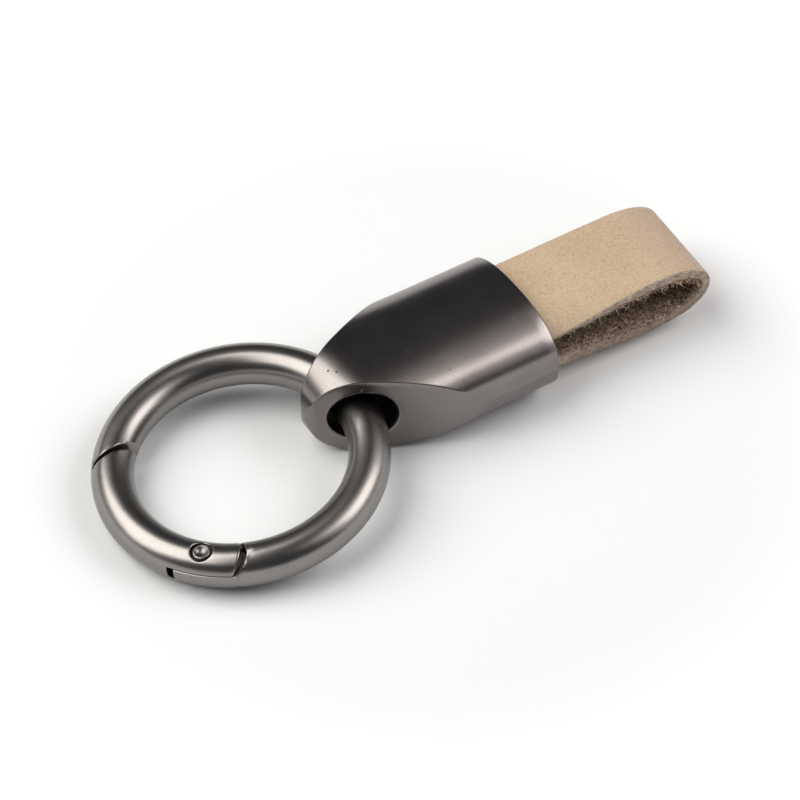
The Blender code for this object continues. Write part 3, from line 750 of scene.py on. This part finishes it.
def strap_profile():
    """The strap's section as (across, through, zone)."""
    half = STRAP_WIDTH / 2
    thick = STRAP_THICKNESS / 2
    flat = half - GRAIN_ROUND
    profile = []
    for i in range(GRAIN_STEPS + 1):
        profile.append((-flat + 2 * flat * i / GRAIN_STEPS, thick, GRAIN))
    for i in range(1, ROUND_STEPS + 1):
        turn = math.pi / 2 * i / ROUND_STEPS
        zone = GRAIN if i < ROUND_STEPS - 1 else CUT
        profile.append((half - GRAIN_ROUND * (1 - math.sin(turn)),
                        thick - GRAIN_ROUND * (1 - math.cos(turn)), zone))
    depth = 2 * thick - GRAIN_ROUND - FLESH_ROUND
    for i in range(1, CUT_STEPS + 1):
        profile.append((half, thick - GRAIN_ROUND - depth * i / CUT_STEPS, CUT))
    for i in range(1, ROUND_STEPS + 1):
        turn = math.pi / 2 * i / ROUND_STEPS
        profile.append((half - FLESH_ROUND * (1 - math.cos(turn)),
                        -thick + FLESH_ROUND * (1 - math.sin(turn)), FLESH))
    flat = half - FLESH_ROUND
    for i in range(1, GRAIN_STEPS):
        profile.append((flat - 2 * flat * i / GRAIN_STEPS, -thick, FLESH))
    for i in range(ROUND_STEPS + 1):
        turn = math.pi / 2 * (1 - i / ROUND_STEPS)
        profile.append((-half + FLESH_ROUND * (1 - math.cos(turn)),
                        -thick + FLESH_ROUND * (1 - math.sin(turn)), FLESH))
    for i in range(CUT_STEPS):
        profile.append((-half, -thick + FLESH_ROUND + depth * i / CUT_STEPS, CUT))
    for i in range(ROUND_STEPS):
        turn = math.pi / 2 * i / ROUND_STEPS
        zone = CUT if i < ROUND_STEPS / 2 else GRAIN
        profile.append((-half + GRAIN_ROUND * (1 - math.cos(turn)),
                        thick - GRAIN_ROUND * (1 - math.sin(turn)), zone))
    return profile


def strap_surface(path):
    """Functions for a point and the outward normal of the middle layer at (row, across)."""
    def point(row, y):
        row = min(len(path) - 1.0, max(0.0, row))
        low = min(len(path) - 2, int(row))
        t = row - low
        ends = []
        for x, side in (path[low], path[low + 1]):
            skew = STRAP_SKEW * y * max(0.0, x) / STRAP_REACH
            ends.append(Vector((x + skew, y, side * strap_layer_height(x, y))))
        return ends[0].lerp(ends[1], t)

    def normal(row, y):
        along = point(row + 1.0, y) - point(row - 1.0, y)
        half = STRAP_WIDTH / 2
        across = (point(row, min(half, y + NORMAL_REACH))
                  - point(row, max(-half, y - NORMAL_REACH)))
        return along.cross(across).normalized()

    return point, normal


def fuzz(place, waves):
    return sum(noise.noise(place * scale) * height for scale, height in waves)


def make_strap():
    path, length = strap_path()
    profile = strap_profile()
    point, normal = strap_surface(path)
    half = STRAP_WIDTH / 2
    shape = bmesh.new()
    rows = []
    columns = sorted({round(across, COLUMN_DIGITS) for across, _, _ in profile})
    for i in range(len(path)):
        base = {}
        for y in columns:
            base[y] = (point(i, y), normal(i, y))
        row = []
        for across, through, zone in profile:
            middle, out = base[round(across, COLUMN_DIGITS)]
            place = middle + out * through
            if zone == CUT:
                rough = fuzz(place, CUT_WAVES)
                place = place + Vector((0.0, math.copysign(rough, across), 0.0))
                place = place + out * fuzz(place, CUT_SWELL)
            elif zone == FLESH:
                ragged = fuzz(place, FLESH_WAVES)
                place = place + out * ragged
                if abs(across) > half - 2 * FLESH_ROUND:
                    place = place + Vector((0.0, math.copysign(ragged, across), 0.0))
            else:
                place = place + out * fuzz(place, GRAIN_WAVES)
            row.append(shape.verts.new(place))
        rows.append(row)
    count = len(profile)
    for fore, aft in zip(rows, rows[1:]):
        for j in range(count):
            k = (j + 1) % count
            face = shape.faces.new((fore[j], aft[j], aft[k], fore[k]))
            pair = (profile[j][2], profile[k][2])
            face.material_index = CUT if CUT in pair else max(pair)
    for end in (rows[0], rows[-1]):
        shape.faces.new(end).material_index = CUT
    bmesh.ops.recalc_face_normals(shape, faces=shape.faces)
    strap = object_from_bmesh("leather_strap_fine", shape)
    strap.data.transform(Matrix.Translation(STRAP_PLACE))
    strap.data.shade_smooth()
    return strap, path, length


def random_vector():
    return Vector((random.gauss(0, 1), random.gauss(0, 1), random.gauss(0, 1)))


def strand(shape, root, out, length, thickness, droop):
    """One curly fibre: a thin three-sided tube that bends at random from root to tip."""
    drift = random_vector()
    heading = (out * random.uniform(*STRAND_LIFT) + drift * STRAND_DRIFT).normalized()
    down = Vector((0.0, 0.0, -droop))
    turns = [2 * math.pi * j / STRAND_SIDES for j in range(STRAND_SIDES)]
    place = root - out * STRAND_ROOT
    rings = []
    for i in range(STRAND_STEPS + 1):
        side = heading.orthogonal().normalized()
        other = heading.cross(side)
        size = thickness * (1.0 - STRAND_TAPER * i / STRAND_STEPS)
        rings.append([
            shape.verts.new(place + (side * math.cos(a) + other * math.sin(a)) * size) for a in turns
        ])
        place = place + heading * (length / STRAND_STEPS)
        bend = random_vector() * STRAND_CURL
        heading = (heading - out * STRAND_LIE_DOWN + bend + down).normalized()
    for fore, aft in zip(rings, rings[1:]):
        for j in range(STRAND_SIDES):
            k = (j + 1) % STRAND_SIDES
            shape.faces.new((fore[j], fore[k], aft[k], aft[j]))
    shape.faces.new(rings[0][::-1])
    shape.faces.new(rings[-1])


def sized_strand(shape, root, out, length, thickness, droop):
    strand(shape, root, out, random.uniform(*length), random.uniform(*thickness), droop)


def flesh_fibre(shape, surface, row):
    """A fibre on the flesh side; they stand closer together towards the near edge."""
    point, normal = surface
    across = (STRAP_WIDTH - 2 * SIDE_MARGIN) * random.random() ** FLESH_CROWDING
    side = -STRAP_WIDTH / 2 + SIDE_MARGIN + across
    out = -normal(row, side)
    root = point(row, side) + out * STRAP_THICKNESS / 2
    sized_strand(shape, root, out, FLESH_LENGTH, FLESH_THICKNESS, FLESH_DROOP)


def corner_fibre(shape, surface, row):
    """A fibre along the inner corner of a cut edge, two out of three on the near one."""
    point, normal = surface
    edge = random.choice(CORNER_SIDES)
    side = edge * (STRAP_WIDTH / 2 - SIDE_MARGIN - abs(random.gauss(0, CORNER_SCATTER)))
    out = -normal(row, side)
    aside = Vector((0.0, math.copysign(CORNER_LEAN_ASIDE, side), 0.0))
    lean = (out * CORNER_LEAN_OUT + aside).normalized()
    depth = STRAP_THICKNESS / 2 * (1.0 - CORNER_SINK * random.random() ** 3)
    root = point(row, side) + out * depth
    sized_strand(shape, root, lean, CORNER_LENGTH, CORNER_THICKNESS, CORNER_DROOP)


def lower_fibre(shape, surface, row, path):
    """A fibre out of the lower layer's near cut edge, on the half by the cap."""
    point, normal = surface
    x, layer = path[int(row)]
    if layer > 0.0 or x > STRAP_REACH * (LOWER_REACH + LOWER_SPREAD * random.random()):
        return
    edge = -STRAP_WIDTH / 2
    out = -normal(row, edge)
    lean = (out * LOWER_LEAN + Vector((0.0, -LOWER_LEAN, 0.0))).normalized()
    depth = out * STRAP_THICKNESS / 2 * random.uniform(*LOWER_DEPTH)
    root = point(row, edge + LOWER_INSET) + depth
    sized_strand(shape, root, lean, LOWER_LENGTH, LOWER_THICKNESS, LOWER_DROOP)


def make_nap(path):
    """Fibres that stand up from the flesh side and out of the cut edges."""
    surface = strap_surface(path)
    shown = [i for i, (x, _) in enumerate(path) if x > MOUTH_MARGIN]
    shape = bmesh.new()
    for _ in range(FLESH_FIBRES):
        flesh_fibre(shape, surface, random.uniform(shown[0], shown[-1]))
    for _ in range(CORNER_FIBRES):
        corner_fibre(shape, surface, random.uniform(shown[0], shown[-1]))
    for _ in range(LOWER_FIBRES):
        lower_fibre(shape, surface, random.uniform(shown[0], shown[-1]), path)
    nap = object_from_bmesh("leather_nap", shape)
    nap.data.transform(Matrix.Translation(STRAP_PLACE))
    nap.data.shade_smooth()
    return nap


# Materials

def colour(red, green, blue):
    """A display colour, 0 to 255, as a linear one."""
    values = []
    for level in (red, green, blue):
        share = level / 255
        values.append(share / 12.92 if share <= 0.04045 else ((share + 0.055) / 1.055) ** 2.4)
    return (*values, 1.0)


class Finish:
    """A node material with short ways to add its parts."""

    def __init__(self, name):
        self.material = bpy.data.materials.new(name)
        self.material.use_nodes = True
        self.tree = self.material.node_tree
        self.shader = self.tree.nodes["Principled BSDF"]
        self.place = self.tree.nodes.new("ShaderNodeTexCoord").outputs["Object"]

    def link(self, source, target):
        self.tree.links.new(source, target)

    def stretched(self, scale):
        node = self.tree.nodes.new("ShaderNodeMapping")
        node.inputs["Scale"].default_value = scale
        self.link(self.place, node.inputs["Vector"])
        return node.outputs["Vector"]

    def noise(self, scale, detail=3.0, rough=0.55, place=None, distortion=0.0):
        node = self.tree.nodes.new("ShaderNodeTexNoise")
        node.inputs["Scale"].default_value = scale
        node.inputs["Detail"].default_value = detail
        node.inputs["Roughness"].default_value = rough
        node.inputs["Distortion"].default_value = distortion
        self.link(place or self.place, node.inputs["Vector"])
        return node.outputs["Fac"]

    def cells(self, scale, output="Distance", place=None):
        node = self.tree.nodes.new("ShaderNodeTexVoronoi")
        node.inputs["Scale"].default_value = scale
        self.link(place or self.place, node.inputs["Vector"])
        return node.outputs[output]

    def spread(self, value, low, high, out_low=0.0, out_high=1.0):
        node = self.tree.nodes.new("ShaderNodeMapRange")
        node.interpolation_type = "SMOOTHSTEP"
        node.inputs["From Min"].default_value = low
        node.inputs["From Max"].default_value = high
        node.inputs["To Min"].default_value = out_low
        node.inputs["To Max"].default_value = out_high
        self.link(value, node.inputs["Value"])
        return node.outputs["Result"]

    def even(self, value, out_low=0.0, out_high=1.0):
        """A noise's middle stretch, spread out."""
        return self.spread(value, 0.3, 0.7, out_low, out_high)

    def math(self, operation, first, second):
        node = self.tree.nodes.new("ShaderNodeMath")
        node.operation = operation
        for socket, value in zip(node.inputs, (first, second)):
            if isinstance(value, (int, float)):
                socket.default_value = value
            else:
                self.link(value, socket)
        return node.outputs[0]

    def mix(self, share, first, second, blend="MIX"):
        node = self.tree.nodes.new("ShaderNodeMix")
        node.data_type = "RGBA"
        node.blend_type = blend
        sockets = [s for s in node.inputs if s.enabled]
        for socket, value in zip(sockets, (share, first, second)):
            if hasattr(value, "is_linked"):
                self.link(value, socket)
            else:
                socket.default_value = value
        return [s for s in node.outputs if s.enabled][0]

    def bump(self, height, distance, strength=1.0, before=None):
        node = self.tree.nodes.new("ShaderNodeBump")
        node.inputs["Strength"].default_value = strength
        node.inputs["Distance"].default_value = distance
        self.link(height, node.inputs["Height"])
        if before:
            self.link(before, node.inputs["Normal"])
        return node.outputs["Normal"]

    def set(self, socket, value):
        if hasattr(value, "is_linked"):
            self.link(value, self.shader.inputs[socket])
        else:
            self.shader.inputs[socket].default_value = value

    def spot(self, x, y, radius, inner=0.0):
        """1 within the radius of a point seen from above, or in a ring from inner to radius."""
        node = self.tree.nodes.new("ShaderNodeVectorMath")
        node.operation = "DISTANCE"
        self.link(self.stretched((1.0, 1.0, 0.0)), node.inputs[0])
        node.inputs[1].default_value = (x, y, 0.0)
        reach = node.outputs["Value"]
        disc = self.spread(reach, 0.65 * radius, radius, 1.0, 0.0)
        if not inner:
            return disc
        return self.math("MULTIPLY", disc, self.spread(reach, inner, 1.25 * inner))

    def axis(self, letter):
        node = self.tree.nodes.new("ShaderNodeSeparateXYZ")
        self.link(self.place, node.inputs[0])
        return node.outputs[letter]


# Dark and pale specks: how many to a metre, their size in that spacing, their rarity and colour
SPECKS = (
    (420.0, 0.055, 0.95, (0.03, 0.028, 0.027, 1.0)),
    (300.0, 0.050, 0.96, (0.55, 0.53, 0.50, 1.0)),
)


def satin_metal(name, base, rough, specks=True, marks=()):
    """Plated metal with a satin finish: fine grain, faint clouding, rare pits and specks."""
    finish = Finish(name)
    clouds = finish.noise(210.0, 4.0)
    grain = finish.noise(5200.0, 3.0, 0.7)
    shade = finish.mix(finish.even(clouds), tuple(0.96 * c for c in base[:3]) + (1.0,),
                       tuple(1.04 * c for c in base[:3]) + (1.0,))
    grit = finish.mix(finish.even(grain), (0.93, 0.93, 0.93, 1.0),
                      (1.07, 1.06, 1.05, 1.0))
    shade = finish.mix(1.0, shade, grit, "MULTIPLY")
    if specks:
        for scale, size, rarity, tone in SPECKS:
            place = finish.stretched((1.0, 1.13, 0.94))
            reach = finish.cells(scale, "Distance", place)
            chance = finish.tree.nodes.new("ShaderNodeSeparateColor")
            finish.link(finish.cells(scale, "Color", place), chance.inputs[0])
            dot = finish.math("MULTIPLY", finish.spread(reach, size * 0.5, size, 1.0, 0.0),
                              finish.math("GREATER_THAN", chance.outputs[0], rarity))
            shade = finish.mix(dot, shade, tone)
    for x, y, radius, inner, level, share in marks:
        there = finish.math("MULTIPLY", finish.spot(x, y, radius, inner), share)
        shade = finish.mix(there, shade, (level, level, level, 1.0))
    finish.set("Base Color", shade)
    finish.set("Metallic", 1.0)
    finish.set("Roughness", finish.even(clouds, rough - 0.01, rough + 0.01))
    finish.set("Normal", finish.bump(grain, 0.0000012, 1.0))
    return finish.material


def grain_leather():
    finish = Finish("strap_grain")
    fine = finish.noise(4300.0, 4.0, 0.7)
    mottle = finish.noise(900.0, 3.0, 0.6)
    broad = finish.noise(120.0, 2.0)
    base = finish.mix(finish.spread(broad, 0.35, 0.65), colour(208, 184, 153), colour(202, 176, 146))
    pink = finish.spread(finish.axis("X"), 0.0300, 0.0402)
    base = finish.mix(pink, base, colour(199, 174, 154))
    base = finish.mix(finish.spread(fine, 0.44, 0.70, 0.0, 0.62), base, colour(184, 155, 122))
    base = finish.mix(finish.spread(mottle, 0.52, 0.75, 0.0, 0.45), base, colour(214, 192, 163))
    marks = finish.noise(1700.0, 2.0, 0.5, finish.stretched((0.6, 1.3, 1.0)), 0.6)
    base = finish.mix(finish.spread(marks, 0.71, 0.79, 0.0, 0.55), base, colour(158, 122, 92))
    dots = finish.noise(3900.0, 2.0, 0.7)
    base = finish.mix(finish.spread(dots, 0.50, 0.68, 0.0, 0.42), base, colour(170, 141, 110))
    base = finish.mix(finish.spread(dots, 0.50, 0.32, 0.0, 0.25), base, colour(226, 205, 176))
    base = finish.mix(1.0, base, (0.81, 0.82, 0.85, 1.0), "MULTIPLY")
    finish.set("Base Color", base)
    finish.set("Roughness", finish.even(fine, 0.62, 0.76))
    finish.set("Specular IOR Level", 0.35)
    pores = finish.cells(2600.0, "Distance")
    soft = finish.bump(finish.noise(700.0, 3.0), 0.00002, 0.6)
    finish.set("Normal", finish.bump(
        finish.math("ADD", fine, finish.spread(pores, 0.0, 0.35, -0.4, 0.0)), 0.000012, 0.7, soft))
    return finish.material


def rough_leather(name, dark, light, streak, low_darkening=0.0):
    """Torn fibres: a cut edge or the flesh side, darker towards the floor by a given share."""
    finish = Finish(name)
    strands = finish.noise(2100.0, 5.0, 0.75, finish.stretched(streak), 1.2)
    clumps = finish.noise(650.0, 3.0, 0.6)
    base = finish.mix(finish.spread(strands, 0.38, 0.62), dark, light)
    base = finish.mix(finish.spread(clumps, 0.35, 0.7, 0.0, 0.5), base, dark)
    # Darker towards the floor, by the given share.
    darker_low = finish.spread(finish.axis("Z"), 0.0015, 0.0060, low_darkening, 0.0)
    base = finish.mix(darker_low, base, tuple(0.45 * c for c in dark[:3]) + (1.0,))
    finish.set("Base Color", base)
    finish.set("Roughness", 0.92)
    finish.set("Specular IOR Level", 0.2)
    finish.set("Normal", finish.bump(strands, 0.00012, 1.0))
    return finish.material


def fibres():
    finish = Finish("strap_fibres")
    each = finish.noise(1300.0, 2.0, 0.6)
    base = finish.mix(finish.spread(each, 0.35, 0.68), colour(182, 158, 138), colour(236, 214, 190))
    finish.set("Base Color", base)
    finish.set("Roughness", 0.85)
    finish.set("Specular IOR Level", 0.2)
    finish.set("Normal", finish.bump(finish.noise(9000.0), 0.000006, 0.6))
    return finish.material


def set_glue():
    finish = Finish("glue")
    cloud = finish.noise(420.0, 4.0)
    finish.set("Base Color", finish.mix(finish.even(cloud), colour(196, 184, 150),
                                        colour(222, 212, 182)))
    finish.set("Roughness", finish.even(cloud, 0.34, 0.55))
    finish.set("Normal", finish.bump(finish.noise(1100.0, 4.0), 0.00005, 0.6))
    return finish.material


def drawn_wire():
    finish = Finish("wire")
    lines = finish.noise(2600.0, 3.0, 0.6, finish.stretched((1.0, 1.0, 0.15)))
    finish.set("Base Color", finish.mix(finish.even(lines), (0.40, 0.39, 0.38, 1.0),
                                        (0.58, 0.57, 0.55, 1.0)))
    finish.set("Metallic", 1.0)
    finish.set("Roughness", finish.even(lines, 0.24, 0.36))
    finish.set("Normal", finish.bump(lines, 0.000004, 0.7))
    return finish.material


GUNMETAL = (0.250, 0.235, 0.227, 1.0)
# Where each small mark on the cap lies, its radius, a ring's inner radius, its level and strength
CAP_MARKS = (
    (-0.01039, 0.00124, 0.00015, 0.0, 0.01, 0.95),
    (-0.00973, 0.00041, 0.00015, 0.0, 0.01, 0.95),
    (0.00218, -0.00529, 0.00013, 0.0, 0.01, 0.90),
    (-0.00404, 0.00173, 0.00013, 0.0, 0.42, 0.60),
    (0.00129, 0.00357, 0.00013, 0.0, 0.42, 0.50),
    (0.00215, 0.00386, 0.00013, 0.0, 0.42, 0.50),
    (0.01263, -0.00269, 0.00014, 0.0, 0.42, 0.50),
    (-0.00111, -0.00109, 0.00060, 0.0, 0.42, 0.15),
    (0.00477, 0.00340, 0.00055, 0.00032, 0.42, 0.18),
)
finishes = {
    "ring": satin_metal("ring_satin", GUNMETAL, 0.285),
    "pin": satin_metal("pin_satin", (0.215, 0.198, 0.192, 1.0), 0.34, specks=False),
    "cap": satin_metal("cap_satin", (0.209, 0.189, 0.183, 1.0), 0.25, marks=CAP_MARKS),
    # Near-black metal for the cap's hole and the rivet's recesses: painted shade.
    "bore": satin_metal("bore_painted_shade", (0.040, 0.038, 0.040, 1.0), 0.45, specks=False),
    "wire": drawn_wire(),
    "grain": grain_leather(),
    "edge": rough_leather("strap_cut_edge", colour(136, 118, 105), colour(218, 199, 182),
                          (0.7, 1.6, 2.4), 0.45),
    "flesh": rough_leather("strap_flesh", colour(100, 80, 66), colour(184, 158, 138),
                           (1.0, 1.0, 1.0)),
    "fibres": fibres(),
    "glue": set_glue(),
}


def give(item, names):
    """Replaces the item's finishes and keeps which face takes which."""
    held = item.data.materials
    for i, name in enumerate(names):
        if i < len(held):
            held[i] = finishes[name]
        else:
            held.append(finishes[name])


# Pieces

ring_body = make_ring_body()
gate = make_gate()
pin = make_pin()
cap = make_end_cap()
strap, strap_rows, strap_length = make_strap()
nap = make_nap(strap_rows)

# The bore finish is painted shade in the cap's hole and the rivet's recesses.
for piece, body, node, slot, finish in (
    (ring_body, "ring", "ring_body", "ring_metal", ["ring"]),
    (gate, "gate", "gate", "gate_metal", ["ring", "bore"]),
    (pin, "gate", "gate_pin", "pin_metal", ["pin"]),
    (cap, "cap", "end_cap", "cap_metal", ["cap", "bore"]),
    (strap, "cap", "leather_strap", "strap_leather", ["grain", "edge", "flesh"]),
    (nap, "cap", None, "strap_leather", ["fibres"]),
):
    give(piece, finish)
    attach(piece, body)
    if node:
        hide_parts(node)

for node, finish in (
    ("ring_body", "ring"), ("gate", "ring"), ("gate_pin", "pin"), ("gate_spring", "wire"),
    ("end_cap", "cap"), ("leather_strap", "grain"), ("glue_plug", "glue"),
):
    give(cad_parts[node], [finish])


# Stage, light and camera

def make_floor():
    """A round pale floor with a low wall at its rim, which both look white from afar."""
    shape = bmesh.new()
    foot, head = [], []
    for i in range(STAGE_SIDES):
        turn = 2 * math.pi * i / STAGE_SIDES
        x, y = STAGE_RADIUS * math.cos(turn), STAGE_RADIUS * math.sin(turn)
        foot.append(shape.verts.new((x, y, 0.0)))
        head.append(shape.verts.new((x, y, STAGE_WALL)))
    shape.faces.new(foot)
    for i in range(STAGE_SIDES):
        j = (i + 1) % STAGE_SIDES
        shape.faces.new((foot[j], foot[i], head[i], head[j]))
    floor = object_from_bmesh("floor", shape)
    finish = Finish("floor_white")
    soft = finish.noise(40.0, 2.0)
    seen = finish.tree.nodes.new("ShaderNodeLightPath").outputs
    shown = finish.math("MAXIMUM", seen["Is Camera Ray"], seen["Is Glossy Ray"])
    shown = finish.math("MAXIMUM", shown, seen["Is Transmission Ray"])
    away = finish.tree.nodes.new("ShaderNodeVectorMath")
    away.operation = "LENGTH"
    finish.link(finish.place, away.inputs[0])
    far = finish.spread(away.outputs["Value"], *WHITENING_FAR)
    near = finish.spread(away.outputs["Value"], *WHITENING_NEAR, 0.0, WHITENING_NEAR_LEVEL)
    finish.set("Emission Color", (1.0, 1.0, 1.0, 1.0))
    finish.set("Emission Strength", finish.math("MULTIPLY", finish.math("MAXIMUM", near, far), shown))
    finish.set("Base Color", finish.mix(soft, *FLOOR_SHADES))
    finish.set("Roughness", 0.9)
    finish.set("Specular IOR Level", 0.0)
    floor.data.materials.append(finish.material)
    return floor


def direction(azimuth, elevation):
    """A unit vector; azimuth is counted from +X towards +Y."""
    a, e = math.radians(azimuth), math.radians(elevation)
    return Vector((math.cos(a) * math.cos(e), math.sin(a) * math.cos(e), math.sin(e)))


def softbox(name, azimuth, elevation, distance, width, height, level, shade, roll):
    """A rectangle of light that faces the object. Its level is in units of white."""
    data = bpy.data.lights.new(name, "AREA")
    data.shape = "RECTANGLE"
    data.size = width
    data.size_y = height
    data.energy = level * math.pi * width * height
    data.color = shade
    made = bpy.data.objects.new(name, data)
    made.location = direction(azimuth, elevation) * distance
    made.rotation_euler = (-made.location).to_track_quat("-Z", "Y").to_euler()
    made.rotation_euler.rotate_axis("Z", math.radians(roll))
    home.objects.link(made)
    return made


def make_world():
    """A dim, cool room all round."""
    world = bpy.data.worlds.new("studio")
    scene.world = world
    world.use_nodes = True
    back = world.node_tree.nodes["Background"]
    back.inputs["Color"].default_value = ROOM_SHADE
    back.inputs["Strength"].default_value = ROOM_LIGHT


floor = make_floor()
make_world()
lamps = [softbox(name, *settings) for name, settings in LAMPS.items()]

data = bpy.data.cameras.new("camera")
data.lens = LENS_MM
data.sensor_width = SENSOR_MM
data.clip_start = CLIP_NEAR
data.clip_end = CLIP_FAR
camera = bpy.data.objects.new("camera", data)
camera.location = CAMERA_PLACE
turned = Matrix((CAMERA_RIGHT, CAMERA_UP, CAMERA_BACK)).transposed()
camera.rotation_euler = turned.to_euler()
home.objects.link(camera)
scene.camera = camera
scene.view_settings.view_transform = "Standard"
